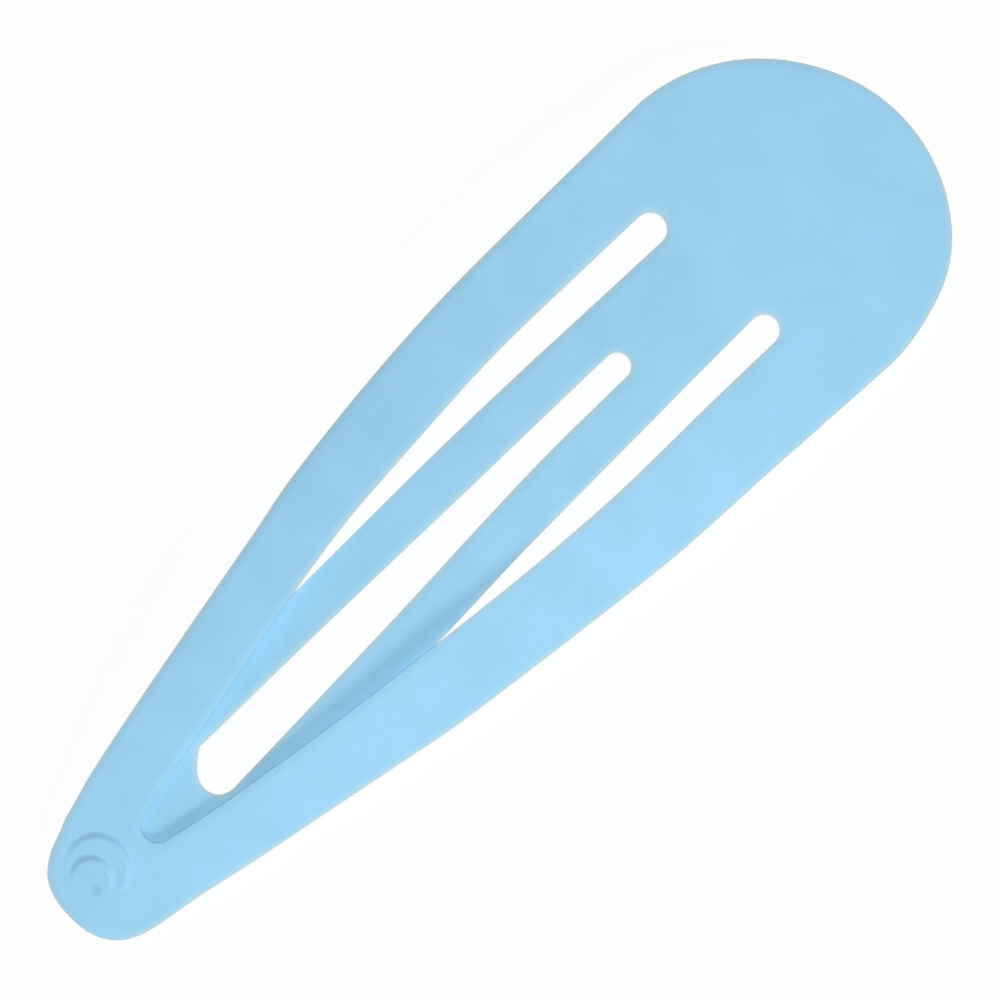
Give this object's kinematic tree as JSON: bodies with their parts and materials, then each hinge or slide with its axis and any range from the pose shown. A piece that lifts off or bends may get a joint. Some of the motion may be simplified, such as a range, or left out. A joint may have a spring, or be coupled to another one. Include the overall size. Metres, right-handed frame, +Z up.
{
  "type": "snap hair clip",
  "caption": "Teardrop snap hair clip of painted spring steel, with a slotted tongue under its side legs and a riveted tip.",
  "frame": {"origin": "centre of the clip's bounding box, on the surface that it lies on", "axes": "+X from the riveted tip towards the round head, +Y across the clip, +Z up out of the surface"},
  "size_m": [0.05, 0.0157, 0.004],
  "materials": {
    "blue_paint": "satin pastel blue paint on stamped spring steel"
  },
  "bodies": {
    "plate": {"plate": "blue_paint"},
    "legs": {"legs": "blue_paint", "lap": "blue_paint", "rivet": "blue_paint"}
  },
  "joints": [
    {"name": "snap_open", "type": "hinge", "parent": "plate", "child": "legs", "pos_m": [0.0085, 0, 0.00354], "axis": [0, 1, 0], "range_deg": [0, 22]}
  ]
}
